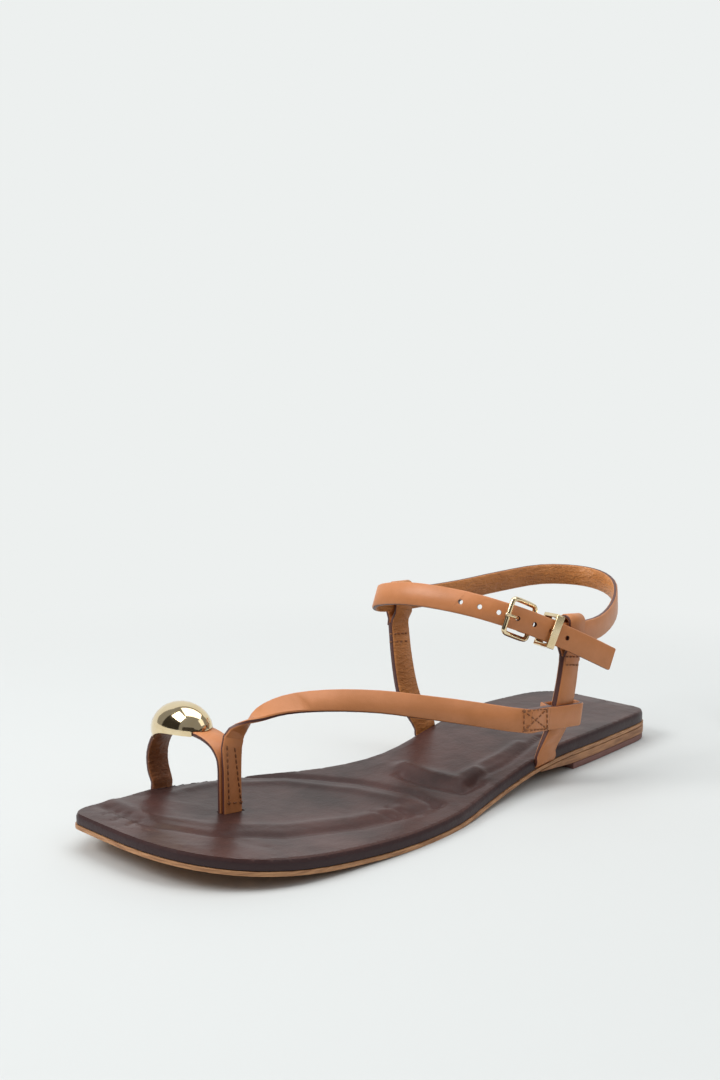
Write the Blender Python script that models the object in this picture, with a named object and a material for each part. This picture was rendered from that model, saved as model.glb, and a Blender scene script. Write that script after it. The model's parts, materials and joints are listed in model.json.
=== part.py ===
"""Toe loop sandal for the left foot: a flat leather sole, a toe loop with a pebble
ornament, a vamp strap, two side tabs and a buckled ankle strap.

Lengths are metres. While it is modelled the sandal lies with the back of the heel at
x = 0, the toe at x = LENGTH, the outer (little toe) side at +y and the floor at z = 0.
"""
import math

import bmesh
import bpy
import numpy as np
from mathutils import Vector

MM = 0.001

# Sole
LENGTH = 250 * MM
BALL_WIDTH = 96 * MM
TOE_SPRING = 7.8 * MM
INSOLE_THICK = 4.0 * MM
INSOLE_HEEL_EXTRA = 0.7 * MM
INSOLE_RIM_RADIUS = 1.7 * MM
OUTSOLE_THICK = 1.4 * MM
HEEL_LIFT_THICK = 3.0 * MM
TOP_PIECE_THICK = 2.6 * MM
LIFT_TIP_THICK = 0.5 * MM
SOLE_OUTSET = 0.4 * MM
HEEL_INSET = 0.3 * MM
GAP = 0.3 * MM

# Straps
STRAP_THICK = 1.8 * MM
LOOP_WIDTH = 9.0 * MM
LOOP_HEIGHT = 24.5 * MM
VAMP_WIDTH = 9.0 * MM
VAMP_HEIGHT = 43 * MM
TAB_WIDTH = 11.5 * MM
TAB_TOP_WIDTH = 9.6 * MM
TAB_FOOT = 9 * MM
TAB_REACH = 6 * MM
VAMP_REACH = 5 * MM
STITCHED_LENGTH = 11 * MM
ANKLE_WIDTH = 8.8 * MM
ANKLE_THICK = 2.0 * MM
ANKLE_HEIGHT = 72.5 * MM
ANKLE_GIRTH_LENGTH = 115 * MM
ANKLE_GIRTH_WIDTH = 74 * MM

# Holes and buckle
HOLE_DIAMETER = 1.9 * MM
HOLE_SPACING = 7.3 * MM
HOLE_FROM_TIP = 25.2 * MM
HOLE_COUNT = 7
BUCKLED_HOLE = 3
BUCKLE_BAR = 2.2 * MM
BUCKLE_LENGTH = 13.5 * MM
KEEPER_WIDTH = 3.2 * MM
KEEPER_BAR = 1.4 * MM
PRONG_DIAMETER = 1.3 * MM
BUCKLE_SLACK = 1.2 * MM
KEEPER_SLACK = 0.5 * MM
TAB_SLACK = 0.3 * MM
JOIN = 0.05 * MM
JOIN_LENGTH = 1.5 * MM
LAYER_GAP = 0.04 * MM
STEP = 0.5 * MM

# Ornament
PEBBLE_LENGTH = 29 * MM
PEBBLE_WIDTH = 17 * MM
PEBBLE_RISE = 8.2 * MM

# Both edges of the sole: share of LENGTH, inner edge and outer edge as shares of BALL_WIDTH
EDGE_ROWS = (
    (0.00, -0.300, 0.262),
    (0.08, -0.322, 0.282),
    (0.19, -0.338, 0.306),
    (0.34, -0.272, 0.326),
    (0.47, -0.236, 0.378),
    (0.58, -0.318, 0.445),
    (0.70, -0.476, 0.465),
    (0.80, -0.534, 0.446),
    (0.90, -0.472, 0.424),
    (1.00, -0.392, 0.400),
)
# Rounded corners: end of the sole, side, then length as a share of LENGTH, squareness of the
# curve and the flat left at the very end as a share of the half width
CORNERS = {
    ("heel", "inner"): (0.085, 2.5, 0.40),
    ("heel", "outer"): (0.055, 3.2, 0.60),
    ("toe", "inner"): (0.045, 2.2, 0.16),
    ("toe", "outer"): (0.220, 2.8, 0.16),
}
HEEL_MIDDLE = 0.02
TOE_MIDDLE = -0.31

# Shares of LENGTH where the sole's side view changes
HEEL_SEAT_END = 0.24
WAIST_END = 0.60
SPRING_START = 0.64
TOP_PIECE_END = 0.245
LIFT_END = 0.335
SOLE_STATIONS = 44

# Toe loop from the post to the inner edge: share across, share of LOOP_HEIGHT, share of the
# shift to the toe, and the way the strap faces across and up
LOOP_ROWS = (
    (0.000, 0.64, 0.10, 1.00, 0.00),
    (0.018, 0.76, 0.16, 0.95, 0.30),
    (0.095, 0.89, 0.24, 0.60, 0.80),
    (0.240, 0.975, 0.34, 0.25, 0.97),
    (0.483, 1.00, 0.50, -0.05, 1.00),
    (0.752, 0.96, 0.68, -0.40, 0.92),
    (0.954, 0.785, 0.86, -0.85, 0.53),
    (1.048, 0.507, 0.96, -1.00, 0.08),
    (1.043, 0.248, 1.00, -1.00, -0.05),
)
POST_PLACE = (0.803, -0.137)
LOOP_INNER_PLACE = 0.806

# Vamp strap from the post to the outer tab: share of the way, share of VAMP_HEIGHT, bulge
# as a share of VAMP_WIDTH, share of VAMP_WIDTH, and the way the strap faces (x, y, z)
VAMP_ROWS = (
    (0.005, 0.753, 0.00, 0.86, -0.25, -0.97, 0.10),
    (0.035, 0.842, -0.02, 0.86, -0.15, -0.55, 0.80),
    (0.078, 0.928, 0.06, 0.86, 0.12, 0.15, 0.97),
    (0.143, 0.990, 0.20, 0.87, 0.28, 0.50, 0.82),
    (0.254, 1.000, 0.41, 0.88, 0.38, 0.70, 0.60),
    (0.404, 0.949, 0.56, 0.91, 0.41, 0.78, 0.47),
    (0.529, 0.867, 0.59, 0.94, 0.42, 0.84, 0.36),
    (0.635, 0.792, 0.55, 0.97, 0.41, 0.87, 0.28),
)

# Ankle strap from its tip round to the buckle: share of the girth's length from the heel,
# share of the girth's width, share of ANKLE_HEIGHT, and the upward lean of its face
ANKLE_ROWS = (
    (0.504, 0.595, 0.641, 0.05),
    (0.596, 0.570, 0.712, 0.05),
    (0.691, 0.527, 0.786, 0.08),
    (0.748, 0.481, 0.832, 0.10),
    (0.813, 0.424, 0.883, 0.12),
    (0.883, 0.359, 0.931, 0.16),
    (0.939, 0.236, 0.972, 0.28),
    (0.978, 0.068, 0.996, 0.38),
    (1.000, -0.122, 1.000, 0.42),
    (1.000, -0.270, 0.982, 0.42),
    (0.983, -0.378, 0.954, 0.36),
    (0.935, -0.446, 0.910, 0.22),
    (0.861, -0.469, 0.890, 0.10),
    (0.696, -0.465, 0.883, 0.04),
    (0.496, -0.455, 0.883, 0.02),
    (0.287, -0.415, 0.903, 0.02),
    (0.113, -0.324, 0.924, 0.03),
    (0.013, -0.176, 0.917, 0.05),
    (0.004, -0.027, 0.903, 0.06),
    (0.061, 0.132, 0.876, 0.06),
    (0.183, 0.277, 0.828, 0.04),
    (0.330, 0.386, 0.790, 0.02),
    (0.470, 0.446, 0.775, 0.00),
)

# Where the side tabs leave the sole and meet the ankle strap, as shares of LENGTH
OUTER_TAB_X = 0.330
OUTER_TAB_TOP = 0.280
INNER_TAB_X = 0.344
INNER_TAB_TOP = 0.362
# Sway of each tab between its ends: share of the way up, then shifts to the toe and outwards
# as shares of TAB_WIDTH
OUTER_TAB_ROWS = ((0.30, -0.12, 0.04), (0.65, -0.10, 0.05))
INNER_TAB_ROWS = ((0.27, 0.24, 0.10), (0.62, 0.20, 0.08))
VAMP_MEETS_TAB = 0.56
VAMP_SLOPE = 0.11
PEBBLE_PLACE = 0.53
# Stretch of the toe loop's stations that the pebble is hollowed along
PEBBLE_SLOT = (0.12, 0.80)


def smooth(value):
    """A soft step from 0 to 1."""
    value = min(max(value, 0.0), 1.0)
    return value * value * (3.0 - 2.0 * value)


def spline(rows, per_span):
    """Points on a smooth curve through the rows, with per_span steps in each span.

    The knots follow the distances between the rows, so close rows make no loop.
    """
    rows = np.array(rows, float)
    padded = np.vstack([2 * rows[0] - rows[1], rows, 2 * rows[-1] - rows[-2]])
    gaps = np.linalg.norm(np.diff(padded[:, :3], axis=0), axis=1) ** 0.5
    knots = np.concatenate([[0], np.cumsum(gaps)])

    def blend(low, high, start, end, t):
        return (low * (end - t) + high * (t - start)) / (end - start)

    points = []
    for i in range(1, len(rows)):
        k = knots[i - 1:i + 3]
        p = padded[i - 1:i + 3]
        for t in np.linspace(k[1], k[2], per_span, endpoint=False):
            first = [blend(p[j], p[j + 1], k[j], k[j + 1], t) for j in range(3)]
            second = [blend(first[j], first[j + 1], k[j], k[j + 2], t) for j in range(2)]
            points.append(blend(second[0], second[1], k[1], k[2], t))
    points.append(rows[-1])
    return np.array(points)


EDGE_CURVE = spline(EDGE_ROWS, 12)


def corner(end, side, share):
    """How far the edge has opened from the middle of the toe or heel, up to 1."""
    length, power, flat = CORNERS[end, side]
    inside = min(share / length, 1.0)
    return flat + (1 - flat) * (1 - (1 - inside) ** power) ** (1 / power)


def edge(share, side):
    """The y of the sole's edge at a share of LENGTH."""
    column = 1 if side == "inner" else 2
    plain = np.interp(share, EDGE_CURVE[:, 0], EDGE_CURVE[:, column])
    if share < 0.5:
        across = HEEL_MIDDLE + (plain - HEEL_MIDDLE) * corner("heel", side, share)
    else:
        across = TOE_MIDDLE + (plain - TOE_MIDDLE) * corner("toe", side, 1 - share)
    return across * BALL_WIDTH


def outsole_bottom(x):
    """Underside of the outsole: flat at the ball, raised at the heel, sprung at the toe."""
    share = x / LENGTH
    heel_rise = TOP_PIECE_THICK + HEEL_LIFT_THICK + 2 * GAP
    rise = heel_rise * smooth((WAIST_END - share) / (WAIST_END - HEEL_SEAT_END))
    spring = TOE_SPRING * (max(share - SPRING_START, 0) / (1 - SPRING_START)) ** 2
    return rise + spring


def outsole_top(x):
    return outsole_bottom(x) + OUTSOLE_THICK


def insole_bottom(x):
    return outsole_top(x) + GAP


def insole_top(x):
    heel = smooth((0.45 - x / LENGTH) / 0.25)
    return insole_bottom(x) + INSOLE_THICK + INSOLE_HEEL_EXTRA * heel


def lift_bottom(x):
    """Underside of the heel lift: flat over the top piece, then rising to a thin tip."""
    flat = TOP_PIECE_THICK + GAP
    tip = outsole_bottom(LIFT_END * LENGTH) - GAP - LIFT_TIP_THICK
    return flat + (tip - flat) * smooth((x / LENGTH - TOP_PIECE_END) / (LIFT_END - TOP_PIECE_END))


def footbed_relief(x, y):
    """Moulding of the footbed: a basin under the toes and a soft pad from arch to heel."""
    share = x / LENGTH
    middle = 0.5 * (edge(share, "inner") + edge(share, "outer"))
    half = 0.5 * (edge(share, "outer") - edge(share, "inner"))
    inside = 1 - min(abs(y - middle) / half, 1.0)
    dish = smooth(inside / 0.28)
    basin = smooth((share - 0.58) / 0.07) * smooth((0.96 - share) / 0.10)
    pad = smooth((share - 0.30) / 0.15) * smooth((0.60 - share) / 0.06)
    cup = smooth((0.30 - share) / 0.15) * smooth(share / 0.12)
    return dish * INSOLE_THICK * (0.07 * pad - 0.20 * basin - 0.16 * cup)


def new_object(name, mesh, material, collection):
    item = bpy.data.objects.new(name, mesh)
    if material:
        mesh.materials.append(material)
    collection.objects.link(item)
    return item


def mesh_from(name, points, faces):
    """A closed mesh with its faces pointing out."""
    builder = bmesh.new()
    corners = [builder.verts.new(point) for point in points]
    for face in faces:
        builder.faces.new([corners[i] for i in face])
    builder.normal_update()
    bmesh.ops.recalc_face_normals(builder, faces=builder.faces)
    bmesh.ops.triangulate(builder, faces=[f for f in builder.faces if len(f.verts) > 4])
    mesh = bpy.data.meshes.new(name)
    builder.to_mesh(mesh)
    builder.free()
    mesh.shade_smooth()
    mesh.set_sharp_from_angle(angle=math.radians(40))
    return mesh


def sole_layer(name, end, lower, upper, outset, rings, across, material, relief=None):
    """A layer of the sole from the heel to a share of LENGTH.

    rings: rows of (inset from the edge, share of the layer's height, added height), from
    the bottom edge over the side to the top. across: how many strips its faces have.
    """
    turns = np.linspace(0, 1, SOLE_STATIONS + 1)
    shares = (1 - np.cos(math.pi * turns)) / 2
    if end < 1:
        shares = [s for s in shares if s < end - 0.01] + [end]
    sides = {side: [(s * LENGTH, edge(s, side)) for s in shares] for side in ("inner", "outer")}
    count = len(shares)

    def between(a, b):
        return [tuple(np.array(a) + (np.array(b) - np.array(a)) * k / across)
                for k in range(1, across)]

    loop = (sides["outer"] + between(sides["outer"][-1], sides["inner"][-1])
            + sides["inner"][::-1] + between(sides["inner"][0], sides["outer"][0]))
    loop = np.array(loop)
    ahead = np.roll(loop, -1, axis=0) - loop
    ahead /= np.linalg.norm(ahead, axis=1)[:, None]
    behind = np.roll(ahead, 1, axis=0)
    inward = np.c_[ahead[:, 1] + behind[:, 1], -(ahead[:, 0] + behind[:, 0])]
    inward /= np.linalg.norm(inward, axis=1)[:, None]

    points = []
    for inset, height, added in rings:
        flat = loop + inward * (inset - outset)
        for x, y in flat:
            points.append((x, y, lower(x) + (upper(x) - lower(x)) * height + added))
    size = len(loop)
    faces = []
    for ring in range(len(rings) - 1):
        for i in range(size):
            j = (i + 1) % size
            low, high = ring * size, (ring + 1) * size
            faces.append((low + i, low + j, high + j, high + i))

    def across_row(ring, i):
        """Numbers of the points straight across a ring at one station, outer to inner."""
        first = ring * size
        outer, inner = first + i, first + 2 * count + across - 2 - i
        if i == count - 1:
            return [outer] + [first + count + k for k in range(across - 1)] + [inner]
        if i == 0:
            return [outer] + [first + size - 1 - k for k in range(across - 1)] + [inner]
        fill = []
        for k in range(1, across):
            place = np.array(points[outer]) + (np.array(points[inner])
                                               - np.array(points[outer])) * k / across
            if relief and ring:
                place[2] += relief(place[0], place[1])
            fill.append(len(points))
            points.append(tuple(place))
        return [outer] + fill + [inner]

    for ring in (0, len(rings) - 1):
        rows = [across_row(ring, i) for i in range(count)]
        for near, far in zip(rows, rows[1:]):
            for k in range(across):
                faces.append((near[k], near[k + 1], far[k + 1], far[k]))
    return new_object(name, mesh_from(name, points, faces), material, PARTS)


def unit(vector):
    vector = np.array(vector, float)
    return vector / np.linalg.norm(vector)


def ribbon_mesh(name, places, facings, widths, thicks, levels=None):
    """A flat strap with softened edges along the places, with its face to the facings.

    A level turns a section from square to the strap to along that direction, by as much as
    the level's own length, for a strap that leans as it leaves the sole's edge.
    """
    places = np.array(places)
    along = np.gradient(places, axis=0)
    levels = np.zeros((len(places), 3)) if levels is None else levels
    points = []
    for place, forward, facing, width, thick, level in zip(places, along, facings, widths,
                                                           thicks, levels):
        forward = unit(forward)
        facing = unit(np.array(facing) - forward * np.dot(facing, forward))
        side = np.cross(forward, facing)
        weight = min(np.linalg.norm(level), 1.0)
        side = unit(side * (1 - weight) + level * np.sign(np.dot(level, side)))
        soft = 0.22 * thick
        for a, b in ((1, 1), (1, -1), (-1, -1), (-1, 1)):
            near_face = (a * (width / 2 - soft), b * thick / 2)
            near_edge = (a * width / 2, b * (thick / 2 - soft))
            pair = (near_face, near_edge) if a * b > 0 else (near_edge, near_face)
            for across, out in pair:
                points.append(place + side * across + facing * out)
    faces = []
    for i in range(len(places) - 1):
        for k in range(8):
            m = (k + 1) % 8
            faces.append((8 * i + k, 8 * i + m, 8 * i + 8 + m, 8 * i + 8 + k))
    faces.append(tuple(range(8)))
    last = 8 * (len(places) - 1)
    faces.append(tuple(range(last, last + 8)))
    return mesh_from(name, points, faces)


def joined(name, meshes, material):
    """One solid from overlapping meshes."""
    first = new_object(name, meshes[0], material, PARTS)
    for number, mesh in enumerate(meshes[1:]):
        tool = new_object(f"{name}_join_{number}", mesh, material, CUTTERS)
        boolean(first, tool, "UNION")
    return first


def boolean(item, tool, operation):
    tool.hide_render = True
    tool.display_type = "WIRE"
    step = item.modifiers.new(tool.name, "BOOLEAN")
    step.operation = operation
    step.object = tool


def cut(item, name, mesh):
    boolean(item, new_object(name, mesh, None, CUTTERS), "DIFFERENCE")


def row(place, facing, width, thick, level=(0, 0, 0)):
    """One row of a strap's table."""
    return [*place, *facing, width, thick, *level]


def strap_mesh(name, table, added=0.0):
    """A strap from its table, made larger all round by the added size."""
    return ribbon_mesh(name, table[:, :3], table[:, 3:6], table[:, 6] + 2 * added,
                       table[:, 7] + 2 * added, table[:, 8:11])


class Route:
    """A strap's middle line with its facing, read by the distance from its start."""

    def __init__(self, rows, per_span):
        self.table = spline(rows, per_span)
        self.places = self.table[:, :3]
        self.facings = self.table[:, 3:6]
        steps = np.linalg.norm(np.diff(self.places, axis=0), axis=1)
        self.travel = np.concatenate([[0], np.cumsum(steps)])

    def place(self, distance):
        return np.array([np.interp(distance, self.travel, self.places[:, k]) for k in range(3)])

    def at(self, distance):
        """Place, forward, facing and side at a distance."""
        forward = unit(self.place(distance + STEP) - self.place(distance - STEP))
        facing = np.array([np.interp(distance, self.travel, self.facings[:, k])
                           for k in range(3)])
        facing = unit(facing - forward * np.dot(facing, forward))
        return self.place(distance), forward, facing, np.cross(forward, facing)

    def mesh(self, name):
        return strap_mesh(name, self.table)


def hairpin(held_wide, held_thick, reach, offset, thick):
    """A strap folded round another, seen end on: rows of (along, out, facing along, facing out).

    The held strap is centred at 0. The two layers run on to along = reach, where they lie
    on each other with their joint at out = offset.
    """
    far = held_thick / 2 + GAP + thick / 2
    bend = held_wide / 2
    layer = thick / 2 + LAYER_GAP
    rows = [(reach, offset + layer, 0, 1),
            (bend + (reach - bend) * 0.55, offset + layer, 0, 1),
            (bend + GAP, far, 0, 1)]
    for step in range(9):
        angle = math.pi * (0.5 + step / 8)
        rows.append((-bend - GAP + far * math.cos(angle), far * math.sin(angle),
                     math.cos(angle), math.sin(angle)))
    rows += [(bend + GAP, -far, 0, -1),
             (bend + (reach - bend) * 0.55, offset - layer, 0, -1),
             (reach, offset - layer, 0, -1)]
    return rows


def hairpin_mesh(name, centre, along, out, rows, width, thick):
    places = [centre + along * a + out * b for a, b, _, _ in rows]
    facings = [along * a + out * b for _, _, a, b in rows]
    return ribbon_mesh(name, places, facings, [width] * len(rows), [thick] * len(rows))


def material(name, hex_colour, roughness, metallic=0.0):
    channels = [int(hex_colour[i:i + 2], 16) / 255 for i in (0, 2, 4)]
    linear = [c / 12.92 if c <= 0.04045 else ((c + 0.055) / 1.055) ** 2.4 for c in channels]
    made = bpy.data.materials.new(name)
    made.use_nodes = True
    shader = made.node_tree.nodes["Principled BSDF"]
    shader.inputs["Base Color"].default_value = (*linear, 1)
    shader.inputs["Roughness"].default_value = roughness
    shader.inputs["Metallic"].default_value = metallic
    return made


for old in list(bpy.data.objects):
    bpy.data.objects.remove(old)
PARTS = bpy.data.collections.new("toe_loop_sandal")
CUTTERS = bpy.data.collections.new("cutters")
bpy.context.scene.collection.children.link(PARTS)
bpy.context.scene.collection.children.link(CUTTERS)


def foot_rows(x, side, width):
    """A strap's end tucked under the insole and bent up round its edge, from the inside out."""
    outward = -1 if side == "inner" else 1
    wall = edge(x / LENGTH, side) + outward * (GAP + STRAP_THICK / 2)
    slope = (outsole_top(x + MM) - outsole_top(x - MM)) / (2 * MM)
    above = unit((-slope, 0, 1))
    base = np.array((x, 0, insole_bottom(x))) + above * STRAP_THICK / 2
    bend = 1.1 * STRAP_THICK
    rows = []
    for inward, height, across, up in ((TAB_FOOT, 0, 0, -1), (0.6 * TAB_FOOT, 0, 0, -1),
                                       (bend, 0, 0.05, -1), (0.3 * bend, 0.3 * bend, 0.7, -0.7),
                                       (0, bend, 1, -0.05), (0, 2 * bend, 1, 0)):
        place = base + above * height
        place[1] = wall - outward * inward
        turn = above * up + np.array((0, outward * across, 0))
        rows.append(row(place, turn, width, STRAP_THICK, unit((1, 0, slope))))
    return rows


def loop_route():
    """The toe loop, from the foot of the post over the toe and under the insole's edge."""
    post_x, post_y = POST_PLACE[0] * LENGTH, POST_PLACE[1] * BALL_WIDTH
    inner_x = LOOP_INNER_PLACE * LENGTH
    start_y = post_y - STRAP_THICK / 2
    foot = insole_bottom(post_x + LOOP_WIDTH / 2)
    end_y = edge(LOOP_INNER_PLACE, "inner") - GAP - STRAP_THICK / 2
    base = insole_top(post_x)
    rows = [row((post_x, start_y, z), (0, 1, 0), LOOP_WIDTH, STRAP_THICK)
            for z in (foot, base, base + 0.35 * LOOP_HEIGHT)]
    for across, height, shift, out, up in LOOP_ROWS:
        place = (post_x + (inner_x - post_x) * shift, start_y + (end_y - start_y) * across,
                 base + LOOP_HEIGHT * height)
        rows.append(row(place, (0, out, up), LOOP_WIDTH, STRAP_THICK))
    return rows + foot_rows(inner_x, "inner", LOOP_WIDTH)[::-1]


def ankle_rows(tail=()):
    """The ankle strap from its tip round to the inner layer, facing outwards."""
    shares = np.array(ANKLE_ROWS)
    places = shares[:, :3] * (ANKLE_GIRTH_LENGTH, ANKLE_GIRTH_WIDTH, ANKLE_HEIGHT)
    places = np.vstack([places] + [tail_place for tail_place in tail])
    leans = np.append(shares[:, 3], [0.0] * len(tail))
    along = np.gradient(places, axis=0)
    rows = []
    for place, forward, lean in zip(places, along, leans):
        outward = unit(np.cross((0, 0, 1), forward))
        facing = unit(outward + np.array((0, 0, lean)))
        rows.append(row(place, facing, ANKLE_WIDTH, ANKLE_THICK))
    return rows


class Buckle:
    """Places on the buckle, in steps along the strap, across it and out from its middle."""

    def __init__(self, outer):
        self.hole = HOLE_FROM_TIP + BUCKLED_HOLE * HOLE_SPACING
        self.ahead = 0.68 * HOLE_SPACING
        front, forward, facing, side = outer.at(self.hole + self.ahead - BUCKLE_LENGTH / 2)
        self.middle, self.forward, self.facing, self.side = front, forward, facing, side
        self.over = ANKLE_THICK / 2 + GAP + BUCKLE_BAR / 2
        self.under = -(1.5 * ANKLE_THICK + 2 * GAP + BUCKLE_BAR / 2)
        self.half_wide = ANKLE_WIDTH / 2 + BUCKLE_SLACK + BUCKLE_BAR / 2
        self.half_long = BUCKLE_LENGTH / 2

    def place(self, along, across, out):
        return self.middle + self.forward * along + self.side * across + self.facing * out


def tab_route(x, side, ankle, distance, lean_rows):
    """A side tab, from under the insole up to the ankle strap that it holds."""
    held, forward, facing, up = ankle.at(distance)
    reach = ANKLE_WIDTH / 2 + TAB_REACH
    top = held - up * (reach - JOIN_LENGTH)
    outward = -1 if side == "inner" else 1
    rows = foot_rows(x, side, TAB_WIDTH)
    low = np.array(rows[-1][:3])
    low[1] += outward * STRAP_THICK / 2
    for share, ahead, out in lean_rows:
        place = low + (top - low) * share
        place[0] += ahead * TAB_WIDTH
        place[1] += outward * out * TAB_WIDTH
        turn = unit(np.array((0, outward, 0)) * (1 - share) + facing * share)
        width = TAB_WIDTH + (TAB_TOP_WIDTH - TAB_WIDTH) * share
        level = np.array(rows[0][8:]) * (1 - share)
        rows.append(row(place, turn, width, 2 * STRAP_THICK, level))
    rows.append(row(top, facing, TAB_TOP_WIDTH, 2 * STRAP_THICK))
    fold = hairpin(ANKLE_WIDTH, ANKLE_THICK + TAB_SLACK, reach, 0, STRAP_THICK)
    return rows, (held, -up, facing, fold)


def tube(name, points, radius, closed, made_of):
    """A bent bar: a curve with a round section and filled ends."""
    curve = bpy.data.curves.new(name, "CURVE")
    curve.dimensions = "3D"
    curve.bevel_depth = radius
    curve.bevel_resolution = 2
    curve.use_fill_caps = True
    line = curve.splines.new("POLY")
    line.points.add(len(points) - 1)
    for point, place in zip(line.points, points):
        point.co = (*place, 1)
    line.use_cyclic_u = closed
    return new_object(name, curve, made_of, PARTS)


def rounded_frame(buckle, half_long, half_wide, out_front, out_rear, radius):
    """Points round a buckle or keeper whose front and rear bars lie at two heights."""
    points = []
    for a_sign, w_sign, start in ((1, 1, 0), (-1, 1, 90), (-1, -1, 180), (1, -1, 270)):
        for step in range(4):
            angle = math.radians(start + 30 * step)
            along = a_sign * (half_long - radius) + radius * math.cos(angle)
            across = w_sign * (half_wide - radius) + radius * math.sin(angle)
            share = (along + half_long) / (2 * half_long)
            out = out_rear + (out_front - out_rear) * smooth(share)
            points.append(buckle.place(along, across, out))
    return points


def cylinder(name, centre, axis, radius, depth, sides=12):
    builder = bmesh.new()
    bmesh.ops.create_cone(builder, cap_ends=True, segments=sides, radius1=radius,
                          radius2=radius, depth=depth)
    turn = Vector(axis).to_track_quat("Z", "Y").to_matrix()
    bmesh.ops.rotate(builder, verts=builder.verts, matrix=turn)
    bmesh.ops.translate(builder, verts=builder.verts, vec=Vector(centre))
    mesh = bpy.data.meshes.new(name)
    builder.to_mesh(mesh)
    builder.free()
    return mesh


def block(name, centre, axes, sizes):
    """A box turned to three axes."""
    builder = bmesh.new()
    bmesh.ops.create_cube(builder, size=1)
    for vert in builder.verts:
        spot = [vert.co[k] * sizes[k] for k in range(3)]
        vert.co = centre + sum(np.array(axis) * step for axis, step in zip(axes, spot))
    builder.normal_update()
    bmesh.ops.recalc_face_normals(builder, faces=builder.faces)
    mesh = bpy.data.meshes.new(name)
    builder.to_mesh(mesh)
    builder.free()
    return mesh


def make_prong(buckle, brass):
    """The prong: hooked round the rear bar, up through its hole and over the front bar."""
    clear = BUCKLE_BAR / 2 + GAP + PRONG_DIAMETER / 2
    hole = buckle.half_long - buckle.ahead
    below = -(ANKLE_THICK / 2 + GAP + PRONG_DIAMETER / 2)
    top = buckle.over + clear
    route = [(-buckle.half_long + clear * math.cos(math.radians(angle)),
              buckle.under + clear * math.sin(math.radians(angle)))
             for angle in range(-140, 41, 30)]
    route += [(hole - 1.6 * PRONG_DIAMETER, 1.35 * below), (hole - 0.4 * PRONG_DIAMETER, below),
              (hole, -0.4 * ANKLE_THICK), (hole, 0.6 * ANKLE_THICK),
              (hole + 0.25 * buckle.ahead, 0.55 * top), (hole + 0.6 * buckle.ahead, 0.93 * top),
              (buckle.half_long, top + 0.1 * GAP), (buckle.half_long + BUCKLE_BAR, 0.95 * top)]
    tube("buckle_prong", [buckle.place(along, 0, out) for along, out in route],
         PRONG_DIAMETER / 2, False, brass)


def make_keeper(buckle, outer, bar, brass):
    """The metal keeper, a flat ring round both layers of the strap behind the buckle."""
    behind = BUCKLE_BAR / 2 + TAB_REACH
    start = buckle.hole + buckle.ahead - BUCKLE_LENGTH - behind
    place, forward, facing, side = outer.at(start)
    inner = bar - buckle.forward * np.dot(bar - place, forward) / np.dot(buckle.forward, forward)
    bottom = np.dot(inner - place, facing) - ANKLE_THICK - KEEPER_SLACK
    top = ANKLE_THICK / 2 + KEEPER_SLACK
    sway = np.dot(inner - place, side)
    centre = place + facing * (top + bottom) / 2 + side * sway / 2
    tall, wide = top - bottom, ANKLE_WIDTH + 2 * KEEPER_SLACK + abs(sway)
    axes = (forward, side, facing)
    keeper = new_object("keeper", block("keeper", centre, axes, (
        KEEPER_WIDTH, wide + 2 * KEEPER_BAR, tall + 2 * KEEPER_BAR)), brass, PARTS)
    cut(keeper, "keeper_opening",
        block("keeper_opening", centre, axes, (2 * KEEPER_WIDTH, wide, tall)))


def foot_room(insole, name, rows):
    """Room in the insole for a strap's foot and for where it bends up round the edge."""
    count = next(i for i, row in enumerate(rows)
                 if row[2] > insole_top(row[0]) + 2 * STRAP_THICK)
    rows = rows[:count]
    lead = rows[0].copy()
    lead[:3] += unit(rows[0][:3] - rows[1][:3]) * GAP
    rows = np.vstack([lead, rows[1:]])
    cut(insole, name, strap_mesh(name, rows, GAP))


def stand_on_origin():
    """Hang everything on one empty that brings the middle of the footprint to the origin."""
    holder = bpy.data.objects.new("sandal_frame", None)
    bpy.context.scene.collection.objects.link(holder)
    bpy.context.view_layer.update()
    seen = bpy.context.evaluated_depsgraph_get()
    spots = [spot for item in PARTS.objects if item.type == "MESH"
             for spot in item.evaluated_get(seen).bound_box]
    low, high = np.min(spots, axis=0), np.max(spots, axis=0)
    holder.location = (-(low[0] + high[0]) / 2, -(low[1] + high[1]) / 2, 0)
    for item in list(PARTS.objects) + list(CUTTERS.objects):
        item.parent = holder


def tab_distance(ankle, first, last, x):
    """Where the ankle strap passes over a place along the sole, between two of its stations."""
    spots = range(int(first * len(ankle.places)), int(last * len(ankle.places)))
    return ankle.travel[min(spots, key=lambda i: abs(ankle.places[i][0] - x))]


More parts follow.
